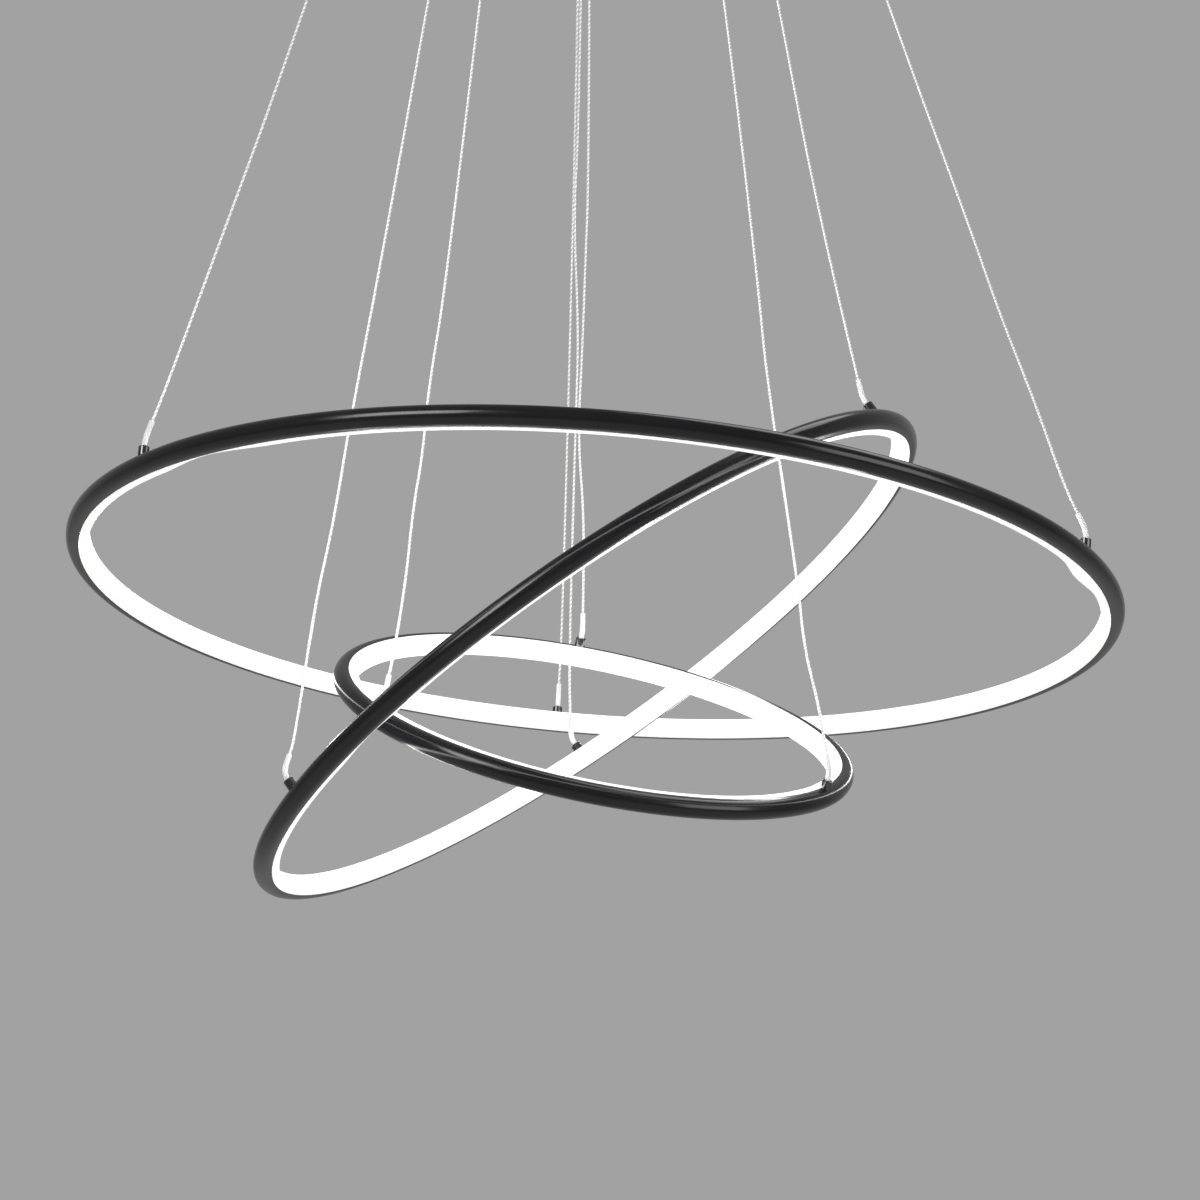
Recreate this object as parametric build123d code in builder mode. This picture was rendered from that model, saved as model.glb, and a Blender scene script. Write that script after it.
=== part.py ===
from build123d import *
import os
from math import asin, cos, degrees, radians, sin, sqrt, tan

# Ring chandelier: three lit rings, each hung from one round canopy by three wires.
# The ceiling is the plane z = 0 and everything hangs below it. Sizes in millimetres and degrees.

# How far the small ring's centre hangs below the ceiling, and how far above it the other rings' centres hang.
hanging_depth = 1121.0
medium_rise = 46.0
large_rise = 101.0

# Rings: outside diameter, how far the ring is tipped out of level, and the direction that its upper side faces,
# measured from +X.
large_diameter = 800.0
large_tilt = 10.5
large_lean = 65.5
medium_diameter = 600.0
medium_tilt = 35.25
medium_lean = 167.5
small_diameter = 400.0
small_tilt = 24.0
small_lean = -60.5

# The medium ring hangs a little off the plumb line of the other two.
medium_offset_x = -3.5
medium_offset_y = -11.5

# Where the first of each ring's three wires is fixed, round the ring from its own x direction.
large_bearing = 214.0
medium_bearing = 216.0
small_bearing = 218.5

# Band of a ring: an aluminium channel with a half-round back, open towards the ring's centre.
band_height = 15.0
lip_width = 3.0
lip_wall = 0.8
channel_depth = 6.0

# Light strip stuck to the floor of the channel.
strip_width = 10.0
strip_thickness = 1.2

# Silicone diffuser pushed into the mouth of the channel; its front laps the lips and stands proud of them.
diffuser_reach = 7.2
diffuser_wall = 1.6
diffuser_corner = 0.8
diffuser_crown = 0.4
diffuser_leg = 2.5
diffuser_gap = 0.1

# Wire anchors on top of the band, and the ferrules that hold the wires' ends inside it.
anchor_diameter = 8.0
anchor_height = 6.5
anchor_edge = 0.6
spigot_diameter = 5.0
spigot_gap = 0.1
spigot_end = 0.6
ferrule_diameter = 3.2
ferrule_length = 4.0
ferrule_bottom = 0.8
ferrule_room = 0.5

# Wires, and the clear sleeves on their lower ends.
wire_diameter = 2.0
wire_gap = 0.2
wire_lead = 6.0
wire_tail = 6.0
sleeve_diameter = 4.0
sleeve_length = 20.0

# Canopy: a round steel cup with the wire grippers in three rows of three.
canopy_diameter = 240.0
canopy_depth = 40.0
canopy_wall = 1.2
canopy_edge = 6.0
canopy_bearing = 214.0
small_exit_radius = 36.0
exit_spacing = 12.0

# Wire grippers: a collar under the canopy on a threaded stem, held by a nut inside.
collar_diameter = 10.0
collar_lip = 1.2
collar_roof = 1.2
collar_edge = 0.8
stem_diameter = 8.0
stem_spare = 1.5
stem_gap = 0.15
nut_across_flats = 10.0
nut_thickness = 3.0
way_gap = 0.4

# Release nipples, pushed up into the collars against a spring.
nipple_diameter = 6.0
nipple_out = 4.5
nipple_flange_diameter = 7.2
nipple_flange = 1.6
nipple_travel = 2.0
nipple_gap = 0.3
nipple_flare = 0.7
spring_room = 2.0

# Ceiling bracket: a flat bar with two slots and with its ends turned down for the canopy's screws.
bracket_width = 26.0
bracket_thickness = 2.0
bracket_tab = 18.0
bracket_gap = 0.5
bracket_bend = 2.0
slot_spacing = 80.0
slot_length = 20.0
slot_width = 5.0
screw_depth = 10.0
screw_diameter = 4.0
screw_length = 9.0
screw_head_diameter = 8.0
screw_head_height = 2.6
screw_gap = 0.2

# Light driver and terminal block on the floor of the canopy.
driver_length = 108.0
driver_width = 40.0
driver_height = 22.0
driver_corner = 4.0
driver_ear = 8.0
driver_ear_thickness = 2.0
driver_screw_head_diameter = 6.0
driver_screw_head_height = 2.0
terminal_length = 36.0
terminal_width = 18.0
terminal_height = 15.0
terminal_gap = 9.0
terminal_ways = 3
terminal_shoulder = 5.0
terminal_hole = 4.0
terminal_entry = 3.0

# Kinks that the wires keep from the roll: how far up the wire, and how far it strays towards +X.
wire_kinks = {
    "large_left": [(40.0, 2.0), (200.0, 4.0), (290.0, 5.0)],
    "large_right": [(35.0, -4.0), (100.0, -3.5), (175.0, -6.0), (245.0, -5.0), (420.0, -6.5)],
    "large_back": [(74.0, 2.0), (460.0, 3.0)],
    "medium_left": [(25.0, 3.5), (130.0, 0.5), (185.0, 3.0), (270.0, 1.5), (420.0, 3.0)],
    "medium_right": [(100.0, -3.0), (200.0, -4.0), (320.0, -2.0)],
    "medium_back": [(60.0, -2.5), (257.0, 0.0), (330.0, 1.5), (426.0, -4.0), (500.0, -0.5)],
    "small_left": [(30.0, 2.5), (85.0, 4.5), (140.0, 3.0), (182.0, 5.0), (235.0, 3.0), (315.0, 6.5)],
    "small_right": [(50.0, -1.0), (95.0, -6.0), (140.0, -4.0), (300.0, -6.5), (375.0, -3.0), (604.0, 1.5)],
    "small_back": [(90.0, 0.5), (155.0, -5.0), (221.0, -2.0), (290.0, 0.0), (366.0, 2.5)],
}

# Sizes that follow from those above.
sides = ["left", "right", "back"]
turn = 360 / len(sides)
half_height = band_height / 2
band_depth = lip_width + half_height
channel_half = half_height - lip_wall
channel_past_lip = channel_depth - lip_width
floor_half = sqrt(channel_half**2 - channel_past_lip**2)
diffuser_half = channel_half - diffuser_gap
front_half = half_height - diffuser_gap
anchor_top = half_height + anchor_height
spigot_bottom = channel_half - spigot_end
wire_bore = wire_diameter + 2 * wire_gap
way_diameter = wire_diameter + 2 * way_gap
chamber_height = nipple_flange + nipple_travel + spring_room
collar_length = collar_lip + chamber_height + collar_roof
collar_bottom = -canopy_depth - collar_length
flange_seat = collar_bottom + collar_lip
canopy_floor = canopy_wall - canopy_depth
canopy_inside = canopy_diameter / 2 - canopy_wall
floor_radius = canopy_diameter / 2 - canopy_edge
driver_forward = sqrt(floor_radius**2 - (driver_length / 2) ** 2) - driver_width / 2
outer_exit_radius = small_exit_radius + 2 * exit_spacing
nut_reach = nut_across_flats / sqrt(3)
terminal_back = outer_exit_radius + nut_reach + terminal_gap + terminal_width / 2
stem_top = canopy_floor + nut_thickness + stem_spare
bend_height = collar_bottom - nipple_out - wire_lead

os.makedirs("parts", exist_ok=True)


def save(builder, name):
    builder.part.label = name
    export_step(builder.part, f"parts/{name}.step")


class Ring:
    """Where one ring hangs: its own plane, the plane of its section, and the places of its wires."""

    def __init__(self, name, diameter, rise, tilt, lean, bearing, row, offset_x=0.0, offset_y=0.0):
        normal = Vector(0, 0, 1).rotate(Axis.Y, tilt).rotate(Axis.Z, lean)
        centre = Vector(offset_x, offset_y, rise - hanging_depth)
        across = Vector(0, 1, 0).cross(normal)
        self.name = name
        self.plane = Plane(origin=centre, x_dir=across, z_dir=normal)
        self.section = Plane(origin=centre, x_dir=across, z_dir=-self.plane.y_dir)
        self.axis = Axis(centre, normal)
        self.mouth = diameter / 2 - band_depth
        self.anchor_radius = self.mouth + lip_width
        self.bearing = bearing
        self.exit_radius = small_exit_radius + row * exit_spacing

    def anchors(self):
        return PolarLocations(self.anchor_radius, len(sides), start_angle=self.bearing)

    def over_anchor(self, number, height):
        angle = radians(self.bearing + number * turn)
        flat = (self.anchor_radius * cos(angle), self.anchor_radius * sin(angle))
        return self.plane.from_local_coords(Vector(*flat, height))

    def exit_at(self, number, height):
        angle = radians(canopy_bearing + number * turn)
        return Vector(self.exit_radius * cos(angle), self.exit_radius * sin(angle), height)


rings = [
    Ring("small", small_diameter, 0, small_tilt, small_lean, small_bearing, 0),
    Ring(
        "medium",
        medium_diameter,
        medium_rise,
        medium_tilt,
        medium_lean,
        medium_bearing,
        1,
        medium_offset_x,
        medium_offset_y,
    ),
    Ring("large", large_diameter, large_rise, large_tilt, large_lean, large_bearing, 2),
]
exits = [ring.exit_at(number, 0) for ring in rings for number in range(len(sides))]


def band_outline(mouth, lip):
    """Outside of the band's section: two flat lips and a half-round back."""
    with BuildSketch() as outline:
        with BuildLine():
            top = Line((mouth, half_height), (mouth + lip, half_height))
            back = CenterArc((mouth + lip, 0), half_height, 90, -180)
            bottom = Line(back @ 1, (mouth, -half_height))
            Line(bottom @ 1, top @ 0)
        make_face()
    return outline.sketch


def channel_outline(mouth):
    """The channel: straight walls under the lips, then parallel to the back as far as a flat floor."""
    rise = degrees(asin(floor_half / channel_half))
    centre = (mouth + lip_width, 0)
    with BuildSketch() as outline:
        with BuildLine():
            top = Line((mouth - lip_width, channel_half), (mouth + lip_width, channel_half))
            upper = CenterArc(centre, channel_half, 90, rise - 90)
            Line(upper @ 1, (mouth + channel_depth, -floor_half))
            lower = CenterArc(centre, channel_half, -rise, rise - 90)
            bottom = Line(lower @ 1, (mouth - lip_width, -channel_half))
            Line(bottom @ 1, top @ 0)
        make_face()
    return outline.sketch


def make_band(ring):
    with BuildPart() as band:
        with BuildSketch(ring.section):
            add(band_outline(ring.mouth, lip_width))
            add(channel_outline(ring.mouth), mode=Mode.SUBTRACT)
        revolve(axis=ring.axis)
        with BuildSketch(ring.plane.offset(spigot_bottom)):
            with ring.anchors():
                Circle(spigot_diameter / 2 + spigot_gap)
        extrude(amount=band_height, mode=Mode.SUBTRACT)
    save(band, f"{ring.name}_ring_band")


def make_strip(ring):
    with BuildPart() as strip:
        with BuildSketch(ring.section):
            with Locations((ring.mouth + channel_depth - strip_thickness / 2, 0)):
                Rectangle(strip_thickness, strip_width)
        revolve(axis=ring.axis)
    save(strip, f"{ring.name}_led_strip")


def make_diffuser(ring):
    """A silicone channel whose crowned front laps the band's lips, cut away round the ends of the wires."""
    front = ring.mouth - diffuser_reach
    lap = ring.mouth - diffuser_gap
    back = ring.mouth + diffuser_leg
    inside = diffuser_half - diffuser_wall
    with BuildPart() as diffuser:
        with BuildSketch(ring.section) as outline:
            with BuildLine():
                top = Polyline(
                    (back, diffuser_half),
                    (lap, diffuser_half),
                    (lap, front_half),
                    (front + diffuser_crown, front_half),
                )
                bow = ThreePointArc(top @ 1, (front, 0), (front + diffuser_crown, -front_half))
                bottom = Polyline(bow @ 1, (lap, -front_half), (lap, -diffuser_half), (back, -diffuser_half))
                Line(bottom @ 1, top @ 0)
            make_face()
            fillet(outline.vertices().group_by(Axis.X)[0], diffuser_corner)
            with BuildLine():
                Polyline(
                    (back, inside),
                    (front + diffuser_crown + diffuser_wall, inside),
                    (front + diffuser_crown + diffuser_wall, -inside),
                    (back, -inside),
                    close=True,
                )
            make_face(mode=Mode.SUBTRACT)
        revolve(axis=ring.axis)
        with BuildSketch(ring.plane):
            with ring.anchors():
                Circle(spigot_diameter / 2 + ferrule_room)
        extrude(amount=band_height, mode=Mode.SUBTRACT)
    save(diffuser, f"{ring.name}_ring_diffuser")


def make_anchors(ring):
    """Turned bosses, saddled over the back of the band, each with a spigot through its wall."""
    saddle = sqrt(half_height**2 - (anchor_diameter / 2) ** 2)
    overhang = anchor_diameter / 2
    with BuildPart() as anchors:
        with BuildSketch(ring.plane.offset(saddle)):
            with ring.anchors():
                Circle(anchor_diameter / 2)
        extrude(amount=anchor_top - saddle)
        chamfer(anchors.edges().group_by(ring.axis)[-1], anchor_edge)
        with BuildSketch(ring.section):
            add(band_outline(ring.mouth - overhang, lip_width + overhang))
        revolve(axis=ring.axis, mode=Mode.SUBTRACT)
        with BuildSketch(ring.plane.offset(spigot_bottom)):
            with ring.anchors():
                Circle(spigot_diameter / 2)
        extrude(amount=anchor_top - spigot_bottom - anchor_height / 2)
        with BuildSketch(ring.plane.offset(spigot_bottom)):
            with ring.anchors():
                Circle(wire_bore / 2)
        extrude(amount=anchor_top - spigot_bottom, mode=Mode.SUBTRACT)
    save(anchors, f"{ring.name}_wire_anchors")


def make_ferrules(ring):
    with BuildPart() as ferrules:
        with BuildSketch(ring.plane.offset(spigot_bottom)):
            with ring.anchors():
                Circle(ferrule_diameter / 2)
        extrude(amount=-ferrule_length)
        with BuildSketch(ring.plane.offset(spigot_bottom)):
            with ring.anchors():
                Circle(wire_bore / 2)
        extrude(amount=ferrule_bottom - ferrule_length, mode=Mode.SUBTRACT)
    save(ferrules, f"{ring.name}_wire_ferrules")


def wire_points(ring, number):
    """Route of a wire: up out of its anchor, along its kinks, and into its gripper in the canopy."""
    end = ring.over_anchor(number, spigot_bottom - ferrule_length + ferrule_bottom + wire_gap)
    low = ring.over_anchor(number, anchor_top + wire_lead)
    high = ring.exit_at(number, bend_height)
    along = (high - low).normalized()
    kinks = wire_kinks[f"{ring.name}_{sides[number]}"]
    middle = [low + along * height + Vector(stray, 0, 0) for height, stray in kinks]
    return [end, low, *middle, high, ring.exit_at(number, stem_top + wire_tail)]


def bend_radii(points):
    """Radius at each corner of a route: as large as its shorter run, or an anchor's lead, allows."""
    radii = []
    for before, corner, after in zip(points, points[1:], points[2:]):
        arriving = corner - before
        leaving = after - corner
        half_turn = radians(arriving.get_angle(leaving) / 2)
        room = 0.45 * min(arriving.length, leaving.length)
        if corner is points[1]:
            room = 0.9 * wire_lead
        radii.append(room / tan(half_turn))
    return radii


def make_wire(ring, number):
    name = f"{ring.name}_wire_{sides[number]}"
    points = wire_points(ring, number)
    radii = bend_radii(points)
    with BuildPart() as wire:
        with BuildLine() as route:
            FilletPolyline(*points, radius=radii)
        with BuildSketch(Plane(origin=points[0], z_dir=points[1] - points[0])) as section:
            Circle(wire_diameter / 2)
        sweep()
    length = route.wire().length
    share = wire.part.volume / (section.sketch.area * length)
    print(name, "radii", [round(r) for r in radii], "length", round(length, 1), "volume share", round(share, 4))
    save(wire, name)


def make_sleeves(ring):
    """Clear tubes over the wires' lower ends, standing on the anchors and bent with the wires."""
    with BuildPart() as sleeves:
        for number in range(len(sides)):
            points = wire_points(ring, number)
            foot = ring.over_anchor(number, anchor_top)
            along = (points[2] - points[1]).normalized()
            with BuildLine():
                FilletPolyline(
                    foot,
                    points[1],
                    points[1] + along * (sleeve_length - wire_lead),
                    radius=bend_radii(points)[0],
                )
            with BuildSketch(Plane(origin=foot, z_dir=ring.plane.z_dir)):
                Circle(sleeve_diameter / 2)
                Circle(wire_bore / 2, mode=Mode.SUBTRACT)
            sweep()
    save(sleeves, f"{ring.name}_wire_sleeves")


for ring in rings:
    make_band(ring)
    make_strip(ring)
    make_diffuser(ring)
    make_anchors(ring)
    make_ferrules(ring)
    make_sleeves(ring)
    for number in range(len(sides)):
        make_wire(ring, number)

# Canopy cup: open towards the ceiling, with a hole for each gripper and one for each side screw.
with BuildPart() as canopy:
    with BuildSketch(Plane.XY):
        Circle(canopy_diameter / 2)
    extrude(amount=-canopy_depth)
    fillet(canopy.edges().sort_by(Axis.Z)[0], canopy_edge)
    offset(amount=-canopy_wall, openings=canopy.faces().sort_by(Axis.Z)[-1])
    with BuildSketch(Plane.XY.offset(-canopy_depth)):
        with Locations(*exits):
            Circle(stem_diameter / 2 + stem_gap)
    extrude(amount=2 * canopy_wall, mode=Mode.SUBTRACT)
    with BuildSketch(Plane.YZ):
        with Locations((0, -screw_depth)):
            Circle(screw_diameter / 2 + screw_gap)
    extrude(amount=canopy_diameter, both=True, mode=Mode.SUBTRACT)
save(canopy, "canopy_cup")

# Ceiling bracket, screwed up through its slots; its turned-down ends take the canopy's side screws.
bracket_half = sqrt(canopy_inside**2 - (bracket_width / 2) ** 2) - bracket_gap
with BuildPart() as bracket:
    with BuildSketch(Plane.XZ) as bent_bar:
        with Locations((0, -bracket_tab / 2)):
            Rectangle(2 * bracket_half, bracket_tab)
        fillet(bent_bar.vertices().group_by(Axis.Y)[-1], bracket_bend + bracket_thickness)
        with Locations((0, -bracket_thickness)):
            RectangleRounded(
                2 * (bracket_half - bracket_thickness),
                2 * bracket_tab,
                bracket_bend,
                align=(Align.CENTER, Align.MAX),
                mode=Mode.SUBTRACT,
            )
    extrude(amount=bracket_width / 2, both=True)
    with BuildSketch(Plane.XY):
        with GridLocations(slot_spacing, 0, 2, 1):
            SlotOverall(slot_length, slot_width)
    extrude(amount=-bracket_thickness, mode=Mode.SUBTRACT)
    with BuildSketch(Plane.YZ):
        with Locations((0, -screw_depth)):
            Circle(screw_diameter / 2)
    extrude(amount=canopy_diameter, both=True, mode=Mode.SUBTRACT)
save(bracket, "ceiling_bracket")

# Two side screws that hold the canopy to the bracket.
with BuildPart() as canopy_screws:
    for side in (1, -1):
        seat = Plane(origin=(side * canopy_diameter / 2, 0, -screw_depth), z_dir=(side, 0, 0))
        with BuildSketch(seat):
            Circle(screw_head_diameter / 2)
        extrude(amount=screw_head_height)
        fillet(canopy_screws.edges().sort_by(Axis.X)[-1 if side > 0 else 0], screw_head_height / 2)
        with BuildSketch(seat):
            Circle(screw_diameter / 2)
        extrude(amount=-screw_length)
save(canopy_screws, "canopy_screws")

# Grippers: each collar has a chamber for its nipple and a way for the wire right through.
with BuildPart() as collars:
    with BuildSketch(Plane.XY.offset(collar_bottom)):
        with Locations(*exits):
            Circle(collar_diameter / 2)
    extrude(amount=collar_length)
    chamfer(collars.edges().group_by(Axis.Z)[0], collar_edge)
    with BuildSketch(Plane.XY.offset(-canopy_depth)):
        with Locations(*exits):
            Circle(stem_diameter / 2)
    extrude(amount=stem_top + canopy_depth)
    with BuildSketch(Plane.XY.offset(collar_bottom)):
        with Locations(*exits):
            Circle(nipple_diameter / 2 + nipple_gap)
    extrude(amount=collar_lip, mode=Mode.SUBTRACT)
    with BuildSketch(Plane.XY.offset(flange_seat)):
        with Locations(*exits):
            Circle(nipple_flange_diameter / 2 + nipple_gap)
    extrude(amount=chamber_height, mode=Mode.SUBTRACT)
    with BuildSketch(Plane.XY.offset(collar_bottom)):
        with Locations(*exits):
            Circle(way_diameter / 2)
    extrude(amount=stem_top - collar_bottom, mode=Mode.SUBTRACT)
save(collars, "gripper_collars")

with BuildPart() as nuts:
    with BuildSketch(Plane.XY.offset(canopy_floor)):
        with Locations(*exits):
            RegularPolygon(nut_across_flats / 2, 6, major_radius=False)
            Circle(stem_diameter / 2, mode=Mode.SUBTRACT)
    extrude(amount=nut_thickness)
save(nuts, "gripper_nuts")


def make_nipple(ring, number):
    """Flanged tube that is pushed up to let its wire slide, with a flared mouth."""
    place = ring.exit_at(number, 0)
    bottom = collar_bottom - nipple_out
    with BuildPart() as nipple:
        with BuildSketch(Plane.XY.offset(bottom)):
            with Locations(place):
                Circle(nipple_diameter / 2)
        extrude(amount=flange_seat - bottom)
        with BuildSketch(Plane.XY.offset(flange_seat)):
            with Locations(place):
                Circle(nipple_flange_diameter / 2)
        extrude(amount=nipple_flange)
        with BuildSketch(Plane.XY.offset(bottom)):
            with Locations(place):
                Circle(way_diameter / 2)
        extrude(amount=flange_seat + nipple_flange - bottom, mode=Mode.SUBTRACT)
        chamfer(nipple.edges().group_by(Axis.Z)[0], nipple_flare)
    save(nipple, f"{ring.name}_{sides[number]}_release_nipple")


for ring in rings:
    for number in range(len(sides)):
        make_nipple(ring, number)

# Light driver: a closed box with a screw ear at each end, on the floor of the canopy.
driver_ear_places = driver_length / 2 + driver_ear / 2
with BuildPart() as driver:
    with BuildSketch(Plane.XY.offset(canopy_floor)):
        with Locations((0, -driver_forward)):
            RectangleRounded(driver_length, driver_width, driver_corner)
    extrude(amount=driver_height)
    fillet(driver.edges().group_by(Axis.Z)[-1], driver_corner / 2)
    with BuildSketch(Plane.XY.offset(canopy_floor)):
        with Locations((0, -driver_forward)):
            Rectangle(driver_length + 2 * driver_ear, driver_ear * 2)
    extrude(amount=driver_ear_thickness)
save(driver, "led_driver")

with BuildPart() as driver_screws:
    with BuildSketch(Plane.XY.offset(canopy_floor + driver_ear_thickness)):
        with Locations((driver_ear_places, -driver_forward), (-driver_ear_places, -driver_forward)):
            Circle(driver_screw_head_diameter / 2)
    extrude(amount=driver_screw_head_height)
    fillet(driver_screws.edges().group_by(Axis.Z)[-1], driver_screw_head_height / 2)
save(driver_screws, "driver_screws")

# Terminal block: a stepped body with a screw hole on top and a wire entry in front for each way.
with BuildPart() as terminal:
    with BuildSketch(Plane.XY.offset(canopy_floor)):
        with Locations((0, terminal_back)):
            Rectangle(terminal_length, terminal_width)
    extrude(amount=terminal_height - terminal_shoulder)
    with BuildSketch(Plane.XY.offset(canopy_floor + terminal_height - terminal_shoulder)):
        with Locations((0, terminal_back)):
            Rectangle(terminal_length, terminal_width / 2)
    extrude(amount=terminal_shoulder)
    with BuildSketch(Plane.XY.offset(canopy_floor + terminal_height)):
        with Locations((0, terminal_back)):
            with GridLocations(terminal_length / terminal_ways, 0, terminal_ways, 1):
                Circle(terminal_hole / 2)
    extrude(amount=-terminal_height / 2, mode=Mode.SUBTRACT)
    with BuildSketch(Plane.XZ.offset(-terminal_back)):
        with Locations((0, canopy_floor + terminal_height / 3)):
            with GridLocations(terminal_length / terminal_ways, 0, terminal_ways, 1):
                Circle(terminal_entry / 2)
    extrude(amount=terminal_width, mode=Mode.SUBTRACT)
save(terminal, "terminal_block")
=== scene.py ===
import math

import bpy
from mathutils import Matrix, Vector


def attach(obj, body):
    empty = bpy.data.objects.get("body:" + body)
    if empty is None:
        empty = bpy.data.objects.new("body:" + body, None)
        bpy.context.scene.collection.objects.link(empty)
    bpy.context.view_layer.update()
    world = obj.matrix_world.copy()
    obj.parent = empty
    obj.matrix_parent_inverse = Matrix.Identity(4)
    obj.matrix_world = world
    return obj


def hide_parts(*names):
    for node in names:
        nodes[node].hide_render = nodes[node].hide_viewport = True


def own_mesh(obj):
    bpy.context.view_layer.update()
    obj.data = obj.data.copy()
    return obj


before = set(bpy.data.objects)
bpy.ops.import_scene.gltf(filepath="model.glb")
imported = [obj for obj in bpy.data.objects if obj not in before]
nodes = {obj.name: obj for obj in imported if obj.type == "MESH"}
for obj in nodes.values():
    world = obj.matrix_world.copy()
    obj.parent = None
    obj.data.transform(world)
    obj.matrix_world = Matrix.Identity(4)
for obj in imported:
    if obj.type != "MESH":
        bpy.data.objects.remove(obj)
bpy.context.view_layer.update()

# Ring bands: aluminium channel with a half-round back, rolled into a hoop and painted satin black.
# Each band carries its ring's light strip, diffuser and wire anchors, and hangs tipped its own way.
MM = 0.001
hanging_depth = 1121 * MM
rings = {
    "large": {
        "diameter": 800 * MM,
        "aside": (0.0, 0.0),
        "rise": 101 * MM,
        "tilt": 10.5,
        "lean": 65.5,
        "bearing": 214.0,
    },
    "medium": {
        "diameter": 600 * MM,
        "aside": (-3.5 * MM, -11.5 * MM),
        "rise": 46 * MM,
        "tilt": 35.25,
        "lean": 167.5,
        "bearing": 216.0,
    },
    "small": {
        "diameter": 400 * MM,
        "aside": (0.0, 0.0),
        "rise": 0.0,
        "tilt": 24.0,
        "lean": -60.5,
        "bearing": 218.5,
    },
}
band_height = 15 * MM
lip_width = 3 * MM
lip_wall = 0.8 * MM
lip_edge = 0.25 * MM
channel_depth = 6 * MM
half_height = band_height / 2
band_depth = lip_width + half_height
channel_half = half_height - lip_wall
floor_half = math.sqrt(channel_half**2 - (channel_depth - lip_width) ** 2)
steps_round_ring = 288
steps_round_back = 36
steps_round_edge = 3
crease = 35
same_point = 0.01 * MM


def ring_place(name):
    """Where a ring hangs, as a matrix: its own z axis is the ring's axis."""
    ring = rings[name]
    tilt, lean = math.radians(ring["tilt"]), math.radians(ring["lean"])
    flat = math.sin(tilt)
    axis = Vector((flat * math.cos(lean), flat * math.sin(lean), math.cos(tilt)))
    across = Vector((0, 1, 0)).cross(axis).normalized()
    centre = Vector((*ring["aside"], ring["rise"] - hanging_depth))
    turned = Matrix((across, axis.cross(across), axis)).transposed().to_4x4()
    return Matrix.Translation(centre) @ turned


def mouth_radius(name):
    """Inside radius of a band, at the mouth of its channel."""
    return rings[name]["diameter"] / 2 - band_depth


def arc(radius, height, size, first, last, steps):
    """Points of a section along an arc, from one angle to another in degrees."""
    angles = [math.radians(first + (last - first) * step / steps) for step in range(steps + 1)]
    return [(radius + size * math.cos(angle), height + size * math.sin(angle)) for angle in angles]


def take(*pieces):
    """Selects these pieces and no others; the first one is the active one."""
    bpy.ops.object.select_all(action="DESELECT")
    for piece in pieces:
        piece.select_set(True)
    bpy.context.view_layer.objects.active = pieces[0]


def close_mesh(distance):
    """Ends an edit: merges points that fall together and turns the faces outwards."""
    bpy.ops.mesh.select_all(action="SELECT")
    bpy.ops.mesh.remove_doubles(threshold=distance)
    bpy.ops.mesh.normals_make_consistent(inside=False)
    bpy.ops.object.mode_set(mode="OBJECT")


def turn_section(name, section, segments, closed):
    """A turned piece: a circle, extruded along a section's points (radius, height)."""
    bpy.ops.object.select_all(action="DESELECT")
    radius, height = section[0]
    bpy.ops.mesh.primitive_circle_add(vertices=segments, radius=radius, location=(0, 0, 0))
    piece = bpy.context.object
    piece.name = name
    piece.data.name = name
    bpy.ops.object.mode_set(mode="EDIT")
    bpy.ops.mesh.select_all(action="SELECT")
    bpy.ops.transform.translate(value=(0, 0, height))
    for next_radius, next_height in section[1:] + section[:1] * closed:
        rise = (0, 0, next_height - height)
        bpy.ops.mesh.extrude_edges_move(TRANSFORM_OT_translate={"value": rise})
        share = next_radius / radius
        bpy.ops.transform.resize(value=(share, share, 1), center_override=(0, 0, 0))
        radius, height = next_radius, next_height
    close_mesh(same_point)
    return piece


def put_in_place(piece, place):
    """Moves a finished piece to its place and leaves its object at the origin."""
    piece.matrix_world = place
    take(piece)
    bpy.ops.object.transform_apply(location=True, rotation=True, scale=True)
    bpy.ops.object.shade_smooth_by_angle(angle=math.radians(crease))


def give_finish(piece, material):
    """Gives a piece its one finish."""
    piece.data.materials.clear()
    piece.data.materials.append(material)


def uneven_finish_group():
    """Slow clouds and fine grain, for finishes that are never quite even."""
    group = bpy.data.node_groups.new("uneven_finish", "ShaderNodeTree")
    group.interface.new_socket("Cloud Scale", in_out="INPUT", socket_type="NodeSocketFloat")
    group.interface.new_socket("Grain Scale", in_out="INPUT", socket_type="NodeSocketFloat")
    group.interface.new_socket("Cloud", in_out="OUTPUT", socket_type="NodeSocketFloat")
    group.interface.new_socket("Grain", in_out="OUTPUT", socket_type="NodeSocketFloat")
    values = group.nodes.new("NodeGroupInput")
    result = group.nodes.new("NodeGroupOutput")
    place = group.nodes.new("ShaderNodeTexCoord")
    for scale, out, detail in (("Cloud Scale", "Cloud", 3.0), ("Grain Scale", "Grain", 1.0)):
        noise = group.nodes.new("ShaderNodeTexNoise")
        noise.inputs["Detail"].default_value = detail
        group.links.new(place.outputs["Object"], noise.inputs["Vector"])
        group.links.new(values.outputs[scale], noise.inputs["Scale"])
        group.links.new(noise.outputs["Fac"], result.inputs[out])
    return group


uneven_finish = uneven_finish_group()


def new_finish(name, cloud_scale, grain_scale):
    """A material with its shader and its own copy of the uneven finish."""
    material = bpy.data.materials.new(name)
    material.use_nodes = True
    tree = material.node_tree
    shader = tree.nodes["Principled BSDF"]
    uneven = tree.nodes.new("ShaderNodeGroup")
    uneven.node_tree = uneven_finish
    uneven.inputs["Cloud Scale"].default_value = cloud_scale
    uneven.inputs["Grain Scale"].default_value = grain_scale
    return material, tree, shader, uneven


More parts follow.
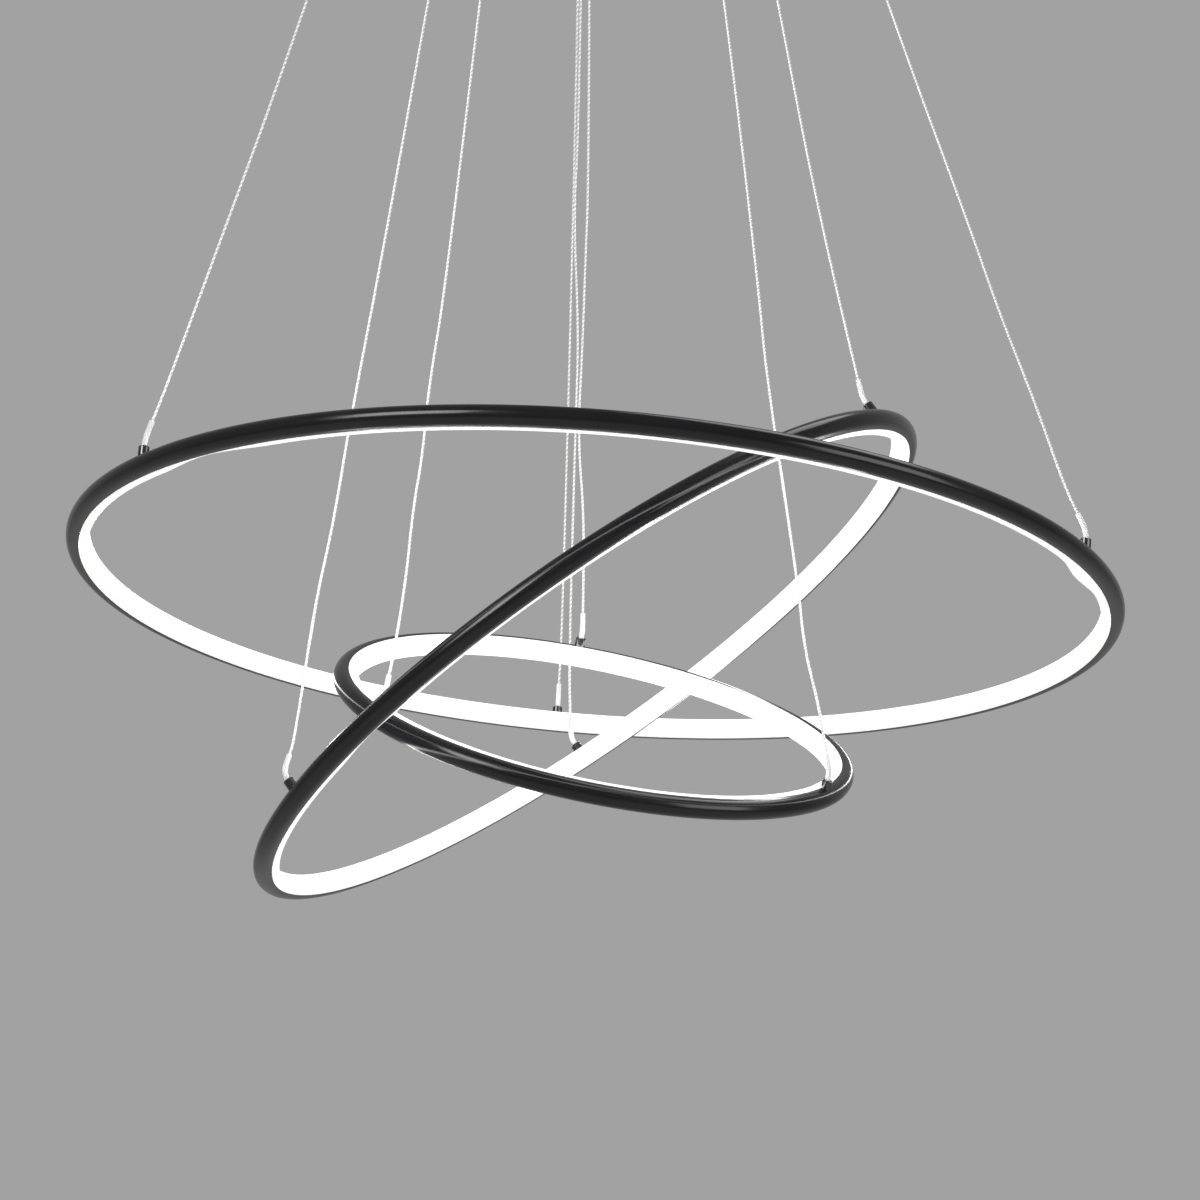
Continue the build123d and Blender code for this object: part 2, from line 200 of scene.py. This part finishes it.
def mix_colors(tree, value, first, second):
    """A colour between two, by a value from 0 to 1."""
    mix = tree.nodes.new("ShaderNodeMix")
    mix.data_type = "RGBA"
    share, color_a, color_b = (mix.inputs[number] for number in (0, 6, 7))
    color_a.default_value = (*first, 1)
    color_b.default_value = (*second, 1)
    tree.links.new(value, share)
    return mix.outputs[2]


def vary_color(tree, shader, value, dark, light):
    """Base colour between two tones, by a value from 0 to 1."""
    tree.links.new(mix_colors(tree, value, dark, light), shader.inputs["Base Color"])


def vary_roughness(tree, shader, value, low, high):
    """Roughness between two values, by a value that mostly lies from 0.3 to 0.7."""
    spread = tree.nodes.new("ShaderNodeMapRange")
    spread.inputs["From Min"].default_value = 0.3
    spread.inputs["From Max"].default_value = 0.7
    spread.inputs["To Min"].default_value = low
    spread.inputs["To Max"].default_value = high
    tree.links.new(value, spread.inputs["Value"])
    tree.links.new(spread.outputs["Result"], shader.inputs["Roughness"])


def add_bump(tree, shader, height, strength, depth):
    """Fine relief from a height value."""
    bump = tree.nodes.new("ShaderNodeBump")
    bump.inputs["Strength"].default_value = strength
    bump.inputs["Distance"].default_value = depth
    tree.links.new(height, bump.inputs["Height"])
    tree.links.new(bump.outputs["Normal"], shader.inputs["Normal"])


def satin_black_paint():
    """Baked paint: near black, with a fine grain that spreads highlights into soft streaks."""
    material, tree, shader, uneven = new_finish("satin_black_paint", 18.0, 1500.0)
    cloud = uneven.outputs["Cloud"]
    vary_color(tree, shader, cloud, dark=(0.003, 0.003, 0.004), light=(0.009, 0.009, 0.010))
    vary_roughness(tree, shader, cloud, low=0.15, high=0.22)
    add_bump(tree, shader, uneven.outputs["Grain"], strength=0.06, depth=0.1 * MM)
    shader.inputs["Specular IOR Level"].default_value = 0.25
    return material


black_paint = satin_black_paint()
for name in rings:
    mouth = mouth_radius(name)
    inside_lip = mouth + lip_edge
    lip_height = half_height - lip_edge
    back = arc(mouth + lip_width, 0, half_height, 90, -90, steps_round_back)
    lower_lip = arc(inside_lip, -lip_height, lip_edge, -90, -180, steps_round_edge)
    channel = [
        (mouth, -channel_half),
        (mouth + lip_width, -channel_half),
        (mouth + channel_depth, -floor_half),
        (mouth + channel_depth, floor_half),
        (mouth + lip_width, channel_half),
        (mouth, channel_half),
    ]
    upper_lip = arc(inside_lip, lip_height, lip_edge, 180, 90, steps_round_edge)
    section = back + lower_lip + channel + upper_lip
    band = turn_section(f"{name}_band", section, steps_round_ring, closed=True)
    put_in_place(band, ring_place(name))
    give_finish(band, black_paint)
    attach(band, f"{name}_ring")
    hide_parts(f"{name}_ring_band")

# Light strips: white circuit tape with a row of small lamps, stuck to the floor of each channel.
# They are behind the diffusers, and stay as the frame has them.
def strip_tape():
    """White solder mask with a faint yellow cast, and lamps that glow."""
    material, tree, shader, uneven = new_finish("strip_tape", 60.0, 900.0)
    grain, cloud = uneven.outputs["Grain"], uneven.outputs["Cloud"]
    vary_color(tree, shader, grain, dark=(0.72, 0.69, 0.56), light=(0.86, 0.84, 0.74))
    vary_roughness(tree, shader, cloud, low=0.4, high=0.55)
    shader.inputs["Emission Color"].default_value = (1.0, 0.97, 0.92, 1)
    shader.inputs["Emission Strength"].default_value = 1.0
    return material


tape = strip_tape()
for name in rings:
    give_finish(nodes[f"{name}_led_strip"], tape)

# Diffusers: hollow opal silicone profile with two legs, pushed into the mouth of each channel.
# The front laps the band's lips and stands proud of them, lit by the strip behind it.
# Beside some anchors it was pressed in too far, or not far enough.
diffuser_reach = 7.2 * MM
diffuser_wall = 1.6 * MM
diffuser_corner = 0.8 * MM
diffuser_crown = 0.4 * MM
diffuser_leg = 2.5 * MM
diffuser_gap = 0.1 * MM
diffuser_half = channel_half - diffuser_gap
front_half = half_height - diffuser_gap
steps_round_corner = 5
lamp_pitch = 8.3 * MM
lamp_ripple = 0.03
edge_fall = 0.35
seen_strength = 0.85
lit_strength = 10.0
seated = {
    "large": [(225.0, -5.5 * MM, 60 * MM), (337.0, 5.0 * MM, 48 * MM)],
    "medium": [(233.5, -5.5 * MM, 45 * MM)],
    "small": [],
}


def lamps_behind_group():
    """How bright a diffuser is, by the lamps along the ring and the distance from its middle."""
    group = bpy.data.node_groups.new("lamps_behind", "ShaderNodeTree")
    group.interface.new_socket("Vector", in_out="INPUT", socket_type="NodeSocketVector")
    group.interface.new_socket("Lamps", in_out="INPUT", socket_type="NodeSocketFloat")
    group.interface.new_socket("Half Height", in_out="INPUT", socket_type="NodeSocketFloat")
    group.interface.new_socket("Glow", in_out="OUTPUT", socket_type="NodeSocketFloat")
    values = group.nodes.new("NodeGroupInput")
    result = group.nodes.new("NodeGroupOutput")

    def step(operation, *terms):
        node = group.nodes.new("ShaderNodeMath")
        node.operation = operation
        for socket, term in zip(node.inputs, terms):
            if isinstance(term, float):
                socket.default_value = term
            else:
                group.links.new(term, socket)
        return node.outputs[0]

    split = group.nodes.new("ShaderNodeSeparateXYZ")
    group.links.new(values.outputs["Vector"], split.inputs[0])
    round_ring = step("ARCTAN2", split.outputs["Y"], split.outputs["X"])
    wave = step("COSINE", step("MULTIPLY", round_ring, values.outputs["Lamps"]))
    ripple = step("ADD", step("MULTIPLY", wave, lamp_ripple), 1.0 - lamp_ripple)
    from_middle = step("DIVIDE", split.outputs["Z"], values.outputs["Half Height"])
    fall = step("MULTIPLY", step("MULTIPLY", from_middle, from_middle), edge_fall)
    group.links.new(step("SUBTRACT", ripple, fall), result.inputs["Glow"])
    return group


lamps_behind = lamps_behind_group()


def lit_silicone(name, place, lamps):
    """Opal silicone with the light behind it, turned to its own ring."""
    material, tree, shader, uneven = new_finish(f"lit_silicone_{name}", 40.0, 700.0)
    cloud = uneven.outputs["Cloud"]
    vary_color(tree, shader, cloud, dark=(0.60, 0.60, 0.59), light=(0.70, 0.70, 0.69))
    vary_roughness(tree, shader, cloud, low=0.42, high=0.55)
    add_bump(tree, shader, uneven.outputs["Grain"], strength=0.05, depth=0.1 * MM)
    to_ring = place.inverted()
    where = tree.nodes.new("ShaderNodeTexCoord")
    turn = tree.nodes.new("ShaderNodeMapping")
    turn.inputs["Location"].default_value = to_ring.translation
    turn.inputs["Rotation"].default_value = to_ring.to_euler()
    light = tree.nodes.new("ShaderNodeGroup")
    light.node_tree = lamps_behind
    light.inputs["Lamps"].default_value = lamps
    light.inputs["Half Height"].default_value = front_half
    tree.links.new(where.outputs["Object"], turn.inputs["Vector"])
    tree.links.new(turn.outputs["Vector"], light.inputs["Vector"])
    glow = mix_colors(tree, light.outputs["Glow"], (0, 0, 0), (1.0, 0.985, 0.96))
    tree.links.new(glow, shader.inputs["Emission Color"])
    ray = tree.nodes.new("ShaderNodeLightPath")
    power = tree.nodes.new("ShaderNodeMapRange")
    power.inputs["To Min"].default_value = lit_strength
    power.inputs["To Max"].default_value = seen_strength
    tree.links.new(ray.outputs["Is Camera Ray"], power.inputs["Value"])
    tree.links.new(power.outputs["Result"], shader.inputs["Emission Strength"])
    return material


def choose(piece, wanted):
    """Selects the vertices that fit a test, and no others."""
    bpy.ops.object.mode_set(mode="EDIT")
    bpy.ops.mesh.select_all(action="DESELECT")
    bpy.ops.object.mode_set(mode="OBJECT")
    for vertex in piece.data.vertices:
        vertex.select = not vertex.hide and wanted(vertex.co)
    bpy.ops.object.mode_set(mode="EDIT")


def seat(piece, fixed_from, bearing, out, spread):
    """Moves a diffuser's front out of its channel, or in, about one bearing; laps and legs stay."""
    outward = Vector((math.cos(math.radians(bearing)), math.sin(math.radians(bearing)), 0))
    near = math.pi * fixed_from / steps_round_ring
    choose(piece, lambda spot: spot.xy.length > fixed_from)
    bpy.ops.mesh.hide(unselected=False)
    choose(piece, lambda spot: (spot.xy - outward.xy * spot.xy.length).length < near)
    bpy.ops.transform.translate(
        value=-out * outward,
        use_proportional_edit=True,
        proportional_edit_falloff="SMOOTH",
        proportional_size=spread,
    )
    bpy.ops.mesh.reveal(select=False)
    bpy.ops.object.mode_set(mode="OBJECT")


for name in rings:
    mouth = mouth_radius(name)
    front = mouth - diffuser_reach
    lap = mouth - diffuser_gap
    leg_end = mouth + diffuser_leg
    corner = front + diffuser_crown + diffuser_corner
    edge = front_half - diffuser_corner
    hollow_front = front + diffuser_crown + diffuser_wall
    hollow_half = diffuser_half - diffuser_wall
    top = [(leg_end, diffuser_half), (lap, diffuser_half), (lap, front_half)]
    top += arc(corner, edge, diffuser_corner, 90, 165, steps_round_corner)
    heights = [edge * quarter / 4 for quarter in (3, 2, 1, 0, -1, -2, -3)]
    crown = [(front + diffuser_crown * (height / front_half) ** 2, height) for height in heights]
    bottom = arc(corner, -edge, diffuser_corner, 195, 270, steps_round_corner)
    bottom += [(lap, -front_half), (lap, -diffuser_half), (leg_end, -diffuser_half)]
    hollow = [
        (leg_end, -hollow_half),
        (hollow_front, -hollow_half),
        (hollow_front, hollow_half),
        (leg_end, hollow_half),
    ]
    section = top + crown + bottom + hollow
    diffuser = turn_section(f"{name}_diffuser", section, steps_round_ring, closed=True)
    for bearing, out, spread in seated[name]:
        seat(diffuser, hollow_front + diffuser_gap, bearing, out, spread)
    put_in_place(diffuser, ring_place(name))
    lamps = round(math.tau * front / lamp_pitch)
    give_finish(diffuser, lit_silicone(name, ring_place(name), lamps))
    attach(diffuser, f"{name}_ring")
    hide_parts(f"{name}_ring_diffuser")

# Wire anchors and ferrules: turned aluminium bosses in gloss black, over crimped nickel ferrules.
# Each boss is saddled over the half-round back, three to a ring, and a wire ends in its bore.
ways_round = 3
anchor_radius = 4 * MM
anchor_edge = 0.6 * MM
anchor_top = half_height + 6.5 * MM
anchor_foot = 6.1 * MM
wire_bore = 1.2 * MM
bore_edge = 0.2 * MM
steps_round_boss = 64


def anchor_spot(name, number, height):
    """A point on the axis of one of a ring's anchors, as the ring itself has it."""
    angle = math.radians(rings[name]["bearing"] + 360 / ways_round * number)
    radius = mouth_radius(name) + lip_width
    return Vector((radius * math.cos(angle), radius * math.sin(angle), height))


def join(pieces):
    """Makes one piece of several, with their places in its mesh."""
    take(*pieces)
    bpy.ops.object.join()
    bpy.ops.object.transform_apply(location=True, rotation=True, scale=True)
    return pieces[0]


def combine(piece, other, operation):
    """Cuts another shape out of a piece, or adds it, and removes the other."""
    take(piece)
    change = piece.modifiers.new("combine", "BOOLEAN")
    change.operation = operation
    change.object = other
    bpy.ops.object.modifier_apply(modifier=change.name)
    bpy.data.objects.remove(other)


def nickel_plate():
    """Bright nickel, a little warm and a little cloudy."""
    material, tree, shader, uneven = new_finish("nickel_plate", 220.0, 2600.0)
    cloud = uneven.outputs["Cloud"]
    vary_color(tree, shader, cloud, dark=(0.58, 0.56, 0.53), light=(0.72, 0.71, 0.68))
    vary_roughness(tree, shader, cloud, low=0.16, high=0.28)
    add_bump(tree, shader, uneven.outputs["Grain"], strength=0.04, depth=0.05 * MM)
    shader.inputs["Metallic"].default_value = 1.0
    return material


def gloss_black_paint():
    """Near-black paint on turned metal: smoother than the bands', with bright highlights."""
    material, tree, shader, uneven = new_finish("gloss_black_paint", 120.0, 1500.0)
    cloud = uneven.outputs["Cloud"]
    vary_color(tree, shader, cloud, dark=(0.004, 0.004, 0.005), light=(0.010, 0.010, 0.011))
    vary_roughness(tree, shader, cloud, low=0.12, high=0.18)
    shader.inputs["Specular IOR Level"].default_value = 0.7
    return material


nickel = nickel_plate()
boss_paint = gloss_black_paint()
boss_section = [
    (wire_bore, anchor_foot),
    (anchor_radius, anchor_foot),
    (anchor_radius, anchor_top - anchor_edge),
    (anchor_radius - anchor_edge, anchor_top),
    (wire_bore + bore_edge, anchor_top),
    (wire_bore, anchor_top - bore_edge),
]
boss = turn_section("boss", boss_section, steps_round_boss, closed=True)
for name in rings:
    mouth = mouth_radius(name)
    saddle = [(mouth - anchor_radius, -half_height), (mouth - anchor_radius, half_height)]
    saddle += arc(mouth + lip_width, 0, half_height, 90, -90, steps_round_back)
    cutter = turn_section("cutter", saddle, steps_round_ring, closed=True)
    bosses = []
    for number in range(ways_round):
        copy = bpy.data.objects.new(f"{name}_anchors", boss.data.copy())
        bpy.context.scene.collection.objects.link(copy)
        copy.location = anchor_spot(name, number, 0)
        bosses.append(copy)
    anchors = join(bosses)
    combine(anchors, cutter, "DIFFERENCE")
    put_in_place(anchors, ring_place(name))
    give_finish(anchors, boss_paint)
    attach(anchors, f"{name}_ring")
    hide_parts(f"{name}_wire_anchors")
    give_finish(nodes[f"{name}_wire_ferrules"], nickel)
bpy.data.objects.remove(boss)

# Wires: a twisted bright strand in a thin clear jacket, which carries the weight and the current.
# Each leaves its anchor square to the ring, keeps small kinks from the roll and ends in a gripper.
sides = ["left", "right", "back"]
wire_diameter = 2 * MM
wire_end = 3.1 * MM
wire_low = 20 * MM
bend_height = -58.5 * MM
wire_top = -28.3 * MM
canopy_bearing = 214.0
exit_radius = {"small": 36 * MM, "medium": 48 * MM, "large": 60 * MM}
near_bend = 12 * MM
strand_pitch = 2.4 * MM
strand_slant = (math.radians(20), math.radians(35), 0)
wave_rate = 20
wire_same_point = 0.001 * MM
wire_crease = 60
wire_kinks = {
    "large_left": [(40.0, 2.0), (200.0, 4.0), (290.0, 5.0)],
    "large_right": [(35.0, -4.0), (100.0, -3.5), (175.0, -6.0), (245.0, -5.0), (420.0, -6.5)],
    "large_back": [(74.0, 2.0), (460.0, 3.0)],
    "medium_left": [(25.0, 3.5), (130.0, 0.5), (185.0, 3.0), (270.0, 1.5), (420.0, 3.0)],
    "medium_right": [(100.0, -3.0), (200.0, -4.0), (320.0, -2.0)],
    "medium_back": [(60.0, -2.5), (257.0, 0.0), (330.0, 1.5), (426.0, -4.0), (500.0, -0.5)],
    "small_left": [
        (30.0, 2.5),
        (85.0, 4.5),
        (140.0, 3.0),
        (182.0, 5.0),
        (235.0, 3.0),
        (315.0, 6.5),
    ],
    "small_right": [
        (50.0, -1.0),
        (95.0, -6.0),
        (140.0, -4.0),
        (300.0, -6.5),
        (375.0, -3.0),
        (604.0, 1.5),
    ],
    "small_back": [(90.0, 0.5), (155.0, -5.0), (221.0, -2.0), (290.0, 0.0), (366.0, 2.5)],
}


def over_anchor(name, number, height):
    """A point on the axis of one of a ring's anchors, where the ring hangs."""
    return ring_place(name) @ anchor_spot(name, number, height)


def at_gripper(name, number, height):
    """A point on the axis of one of the canopy's grippers."""
    angle = math.radians(canopy_bearing + 360 / ways_round * number)
    radius = exit_radius[name]
    return Vector((radius * math.cos(angle), radius * math.sin(angle), height))


def wire_route(name, number):
    """From the gripper down to the anchor, with a point near each bend on the straight run."""
    low = over_anchor(name, number, wire_low)
    high = at_gripper(name, number, bend_height)
    along = (high - low).normalized()
    kinks = [
        low + along * up * MM + Vector((stray * MM, 0, 0))
        for up, stray in wire_kinks[f"{name}_{sides[number]}"]
    ]
    down = (kinks[-1] - high).normalized()
    rise = (kinks[0] - low).normalized()
    top = [at_gripper(name, number, wire_top), high, high + down * near_bend]
    return top + kinks[::-1] + [low + rise * near_bend, low, over_anchor(name, number, wire_end)]


def wire_line(name, points):
    """A smooth line along a wire's route."""
    data = bpy.data.curves.new(name, "CURVE")
    data.dimensions = "3D"
    data.resolution_u = 24
    line = data.splines.new("NURBS")
    line.points.add(len(points) - 1)
    for spot, point in zip(line.points, points):
        spot.co = (*point, 1)
    line.order_u = 3
    line.use_endpoint_u = True
    wire = bpy.data.objects.new(name, data)
    bpy.context.scene.collection.objects.link(wire)
    return wire


def wire_strand():
    """Tinned strand under a clear jacket: slanting bright wires, painted shade in the grooves
    between them, and a smooth gloss over them.
    """
    material, tree, shader, uneven = new_finish("wire_strand", 90.0, 1800.0)
    where = tree.nodes.new("ShaderNodeTexCoord")
    slant = tree.nodes.new("ShaderNodeMapping")
    slant.inputs["Rotation"].default_value = strand_slant
    twist = tree.nodes.new("ShaderNodeTexWave")
    twist.bands_direction = "Z"
    twist.inputs["Scale"].default_value = math.tau / (wave_rate * strand_pitch)
    tree.links.new(where.outputs["Object"], slant.inputs["Vector"])
    tree.links.new(slant.outputs["Vector"], twist.inputs["Vector"])
    twist_and_groove_shade = twist.outputs["Fac"]
    # The light and dark slanting bands follow the strand's twist; the dark bands are painted shade
    # in the grooves between the wires.
    vary_color(tree, shader, twist_and_groove_shade, dark=(0.42, 0.42, 0.42), light=(0.74, 0.74, 0.73))
    vary_roughness(tree, shader, uneven.outputs["Cloud"], low=0.32, high=0.44)
    add_bump(tree, shader, twist_and_groove_shade, strength=0.2, depth=0.1 * MM)
    shader.inputs["Metallic"].default_value = 0.2
    shader.inputs["Coat Weight"].default_value = 0.7
    shader.inputs["Coat Roughness"].default_value = 0.1
    return material


strand = wire_strand()
for name in rings:
    for number, side in enumerate(sides):
        wire = wire_line(f"{name}_wire_{side}_strand", wire_route(name, number))
        followed = bpy.data.meshes.new_from_object(wire)
        bpy.data.meshes.remove(followed)
        wire.data.bevel_depth = wire_diameter / 2
        wire.data.bevel_resolution = 6
        wire.data.use_fill_caps = True
        take(wire)
        bpy.ops.object.convert(target="MESH")
        wire = bpy.context.object
        bpy.ops.object.mode_set(mode="EDIT")
        close_mesh(wire_same_point)
        bpy.ops.object.shade_smooth_by_angle(angle=math.radians(wire_crease))
        give_finish(wire, strand)
        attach(wire, f"{name}_hanger")
        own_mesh(wire)
        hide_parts(f"{name}_wire_{side}")

# Wire sleeves: clear tube, shrunk over the lower end of each wire where it leaves its anchor.
# They stay as the frame has them.
def clear_tube():
    """Clear plastic, a little milky."""
    material, tree, shader, uneven = new_finish("clear_tube", 300.0, 1200.0)
    cloud = uneven.outputs["Cloud"]
    vary_color(tree, shader, cloud, dark=(0.66, 0.67, 0.68), light=(0.80, 0.81, 0.81))
    vary_roughness(tree, shader, cloud, low=0.3, high=0.45)
    shader.inputs["IOR"].default_value = 1.35
    shader.inputs["Transmission Weight"].default_value = 0.3
    return material


clear = clear_tube()
for name in rings:
    give_finish(nodes[f"{name}_wire_sleeves"], clear)

# Canopy: a spun steel cup, painted as the bands are, over a zinc-plated bracket on the ceiling.
# Two nickel screws through its wall hold it to the bracket's turned-down ends.
canopy_radius = 120 * MM
canopy_depth = 40 * MM
canopy_wall = 1.2 * MM
canopy_edge = 6 * MM
rim_edge = 0.3 * MM
stem_hole = 4.15 * MM
stem_drill = 4 * canopy_wall
screw_hole = 2.2 * MM
screw_depth = 10 * MM
screw_drill = 2.2 * canopy_radius
pole = 0.004 * MM
canopy_inside = canopy_radius - canopy_wall
canopy_floor = canopy_wall - canopy_depth
floor_edge = canopy_radius - canopy_edge
floor_flat = floor_edge - 1 * MM
floor_third = floor_edge / 3
wall_foot = canopy_edge - canopy_depth
wall_low = wall_foot + 1 * MM
wall_high = -1 * MM
steps_round_canopy = 192
steps_round_foot = 12
steps_round_hole = 48


def zinc_plate():
    """Zinc-plated sheet with a soft spangle."""
    material, tree, shader, uneven = new_finish("zinc_plate", 140.0, 1600.0)
    cloud = uneven.outputs["Cloud"]
    vary_color(tree, shader, cloud, dark=(0.45, 0.46, 0.48), light=(0.66, 0.67, 0.68))
    vary_roughness(tree, shader, cloud, low=0.3, high=0.5)
    add_bump(tree, shader, uneven.outputs["Grain"], strength=0.05, depth=0.05 * MM)
    shader.inputs["Metallic"].default_value = 1.0
    return material


def drill(radius, length, place, tip=0):
    """A round cutter for one hole, upright or tipped about the y axis."""
    bpy.ops.object.select_all(action="DESELECT")
    bpy.ops.mesh.primitive_cylinder_add(
        vertices=steps_round_hole,
        radius=radius,
        depth=length,
        location=place,
        rotation=(0, math.radians(tip), 0),
    )
    return bpy.context.object


zinc = zinc_plate()
foot_inside = canopy_edge - canopy_wall
cup_section = [(pole, -canopy_depth), (floor_third, -canopy_depth), (floor_flat, -canopy_depth)]
cup_section += arc(floor_edge, wall_foot, canopy_edge, -90, 0, steps_round_foot)
cup_section += [(canopy_radius, wall_low), (canopy_radius, wall_high)]
cup_section += arc(canopy_radius - rim_edge, -rim_edge, rim_edge, 0, 90, steps_round_edge)
cup_section += arc(canopy_inside + rim_edge, -rim_edge, rim_edge, 90, 180, steps_round_edge)
cup_section += [(canopy_inside, wall_high), (canopy_inside, wall_low)]
cup_section += arc(floor_edge, wall_foot, foot_inside, 0, -90, steps_round_foot)
cup_section += [(floor_flat, canopy_floor), (floor_third, canopy_floor), (pole, canopy_floor)]
cup = turn_section("canopy", cup_section, steps_round_canopy, closed=False)
drills = [drill(screw_hole, screw_drill, (0, 0, -screw_depth), tip=90)]
for name in rings:
    for number in range(ways_round):
        drills.append(drill(stem_hole, stem_drill, at_gripper(name, number, -canopy_depth)))
combine(cup, join(drills), "DIFFERENCE")
put_in_place(cup, Matrix())
give_finish(cup, black_paint)
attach(cup, "canopy")
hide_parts("canopy_cup")
give_finish(nodes["ceiling_bracket"], zinc)
give_finish(nodes["canopy_screws"], nickel)

# Wire grippers: nickel-plated brass collars under the canopy, each held by a nut inside it.
# A sprung nipple stands out of each collar, and pushing it up lets the wire slide.
give_finish(nodes["gripper_collars"], nickel)
give_finish(nodes["gripper_nuts"], nickel)
for name in rings:
    for side in sides:
        give_finish(nodes[f"{name}_{side}_release_nipple"], nickel)

# Light driver and terminal block: moulded in white plastic, screwed to the floor of the canopy.
# The supply comes into the terminal block, and the driver feeds the strips through the wires.
driver_length = 108 * MM
driver_width = 40 * MM
driver_height = 22 * MM
driver_corner = 4 * MM
driver_edge = 2 * MM
driver_forward = math.sqrt(floor_edge**2 - (driver_length / 2) ** 2) - driver_width / 2
ear = 8 * MM
ear_thickness = 2 * MM
ear_edge = 0.4 * MM
lid_seam = 15.4 * MM
seam_depth = 0.5 * MM
seam_slope = 0.25 * MM
seam_gap = 0.6 * MM
seam_low = lid_seam + seam_slope
seam_high = seam_low + seam_gap
lid_foot = seam_high + seam_slope
shoulder = driver_height - driver_edge
steps_round_block = 10
steps_round_lid = 6


def white_moulding():
    """White plastic with a fine spark texture."""
    material, tree, shader, uneven = new_finish("white_moulding", 30.0, 1100.0)
    cloud = uneven.outputs["Cloud"]
    vary_color(tree, shader, cloud, dark=(0.72, 0.72, 0.70), light=(0.82, 0.82, 0.80))
    vary_roughness(tree, shader, cloud, low=0.42, high=0.58)
    add_bump(tree, shader, uneven.outputs["Grain"], strength=0.15, depth=0.1 * MM)
    return material


def moulded_block(name, length, width, corner, profile):
    """A plate with rounded corners, extruded from each point (inset, height) to the next."""
    bpy.ops.object.select_all(action="DESELECT")
    bpy.ops.mesh.primitive_plane_add(size=1, location=(0, 0, 0))
    block = bpy.context.object
    block.name = name
    block.data.name = name
    bpy.ops.object.mode_set(mode="EDIT")
    bpy.ops.mesh.select_all(action="SELECT")
    bpy.ops.transform.resize(value=(length, width, 1))
    bpy.ops.mesh.bevel(offset=corner, segments=steps_round_block, affect="VERTICES")
    bpy.ops.mesh.select_all(action="SELECT")
    inset, height = profile[0]
    for next_inset, next_height in profile[1:]:
        rise = (0, 0, next_height - height)
        bpy.ops.mesh.extrude_region_move(TRANSFORM_OT_translate={"value": rise})
        shares = [(size - 2 * next_inset) / (size - 2 * inset) for size in (length, width)]
        bpy.ops.transform.resize(value=(*shares, 1), center_override=(0, 0, 0))
        inset, height = next_inset, next_height
    close_mesh(same_point)
    return block


moulding = white_moulding()
case = [(0, 0), (0, lid_seam), (seam_depth, seam_low), (seam_depth, seam_high), (0, lid_foot)]
lid_round = arc(0, shoulder, driver_edge, 0, 90, steps_round_lid)
case += [(driver_edge - across, up) for across, up in lid_round]
case += [(2 * driver_edge, driver_height)]
plate = [(0, 0), (0, ear_thickness - ear_edge), (ear_edge, ear_thickness)]
driver = moulded_block("driver", driver_length, driver_width, driver_corner, case)
ears = moulded_block("ears", driver_length + 2 * ear, 2 * ear, driver_corner, plate)
combine(driver, ears, "UNION")
put_in_place(driver, Matrix.Translation((0, -driver_forward, canopy_floor)))
give_finish(driver, moulding)
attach(driver, "canopy")
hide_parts("led_driver")
give_finish(nodes["terminal_block"], moulding)
give_finish(nodes["driver_screws"], zinc)

# Stage: a plain pale floor under the light, even light all round, and three soft lamps.
# The camera stands where the photograph was taken, below the rings and looking a little up.
floor_height = -2.7
floor_size = 60.0
floor_tone = 0.8
backdrop_tone = 0.36
lit_point = Vector((0, 0, -1.0))
camera_place = (0.0044, -3.4265, -1.4669)
camera_pitch = 7.3
focal_length = 136.85


def stage_paint(name, tone):
    """Even matt paint, seen only from its upper side."""
    material = bpy.data.materials.new(name)
    material.use_nodes = True
    tree = material.node_tree
    shader = tree.nodes["Principled BSDF"]
    shader.inputs["Base Color"].default_value = (tone, tone, tone, 1)
    shader.inputs["Roughness"].default_value = 0.9
    through = tree.nodes.new("ShaderNodeBsdfTransparent")
    side = tree.nodes.new("ShaderNodeNewGeometry")
    mix = tree.nodes.new("ShaderNodeMixShader")
    tree.links.new(side.outputs["Backfacing"], mix.inputs[0])
    tree.links.new(shader.outputs[0], mix.inputs[1])
    tree.links.new(through.outputs[0], mix.inputs[2])
    tree.links.new(mix.outputs[0], tree.nodes["Material Output"].inputs["Surface"])
    return material


def soft_lamp(name, place, size, power):
    """A square soft lamp that faces the rings."""
    data = bpy.data.lights.new(name, "AREA")
    data.size = size
    data.energy = power
    lamp = bpy.data.objects.new(name, data)
    lamp.location = place
    lamp.rotation_euler = (lit_point - Vector(place)).to_track_quat("-Z", "Y").to_euler()
    bpy.context.scene.collection.objects.link(lamp)


bpy.ops.object.select_all(action="DESELECT")
bpy.ops.mesh.primitive_plane_add(size=floor_size, location=(0, 0, floor_height))
floor = bpy.context.object
floor.name = "floor"
floor.data.materials.append(stage_paint("floor_paint", floor_tone))

world = bpy.data.worlds.new("even_light")
world.use_nodes = True
backdrop = world.node_tree.nodes["Background"]
backdrop.inputs["Color"].default_value = (backdrop_tone, backdrop_tone, backdrop_tone, 1)
bpy.context.scene.world = world

soft_lamp("key_lamp", place=(-2.2, -2.6, 0.6), size=1.6, power=110)
soft_lamp("fill_lamp", place=(2.8, -1.8, -0.6), size=1.8, power=50)
soft_lamp("top_lamp", place=(1.5, 0.9, 2.2), size=2.0, power=45)

camera_data = bpy.data.cameras.new("photo_camera")
camera_data.sensor_width = 36
camera_data.lens = focal_length
camera = bpy.data.objects.new("photo_camera", camera_data)
camera.location = camera_place
camera.rotation_euler = (math.radians(90 + camera_pitch), 0, 0)
bpy.context.scene.collection.objects.link(camera)
bpy.context.scene.camera = camera
bpy.context.scene.view_settings.view_transform = "Standard"
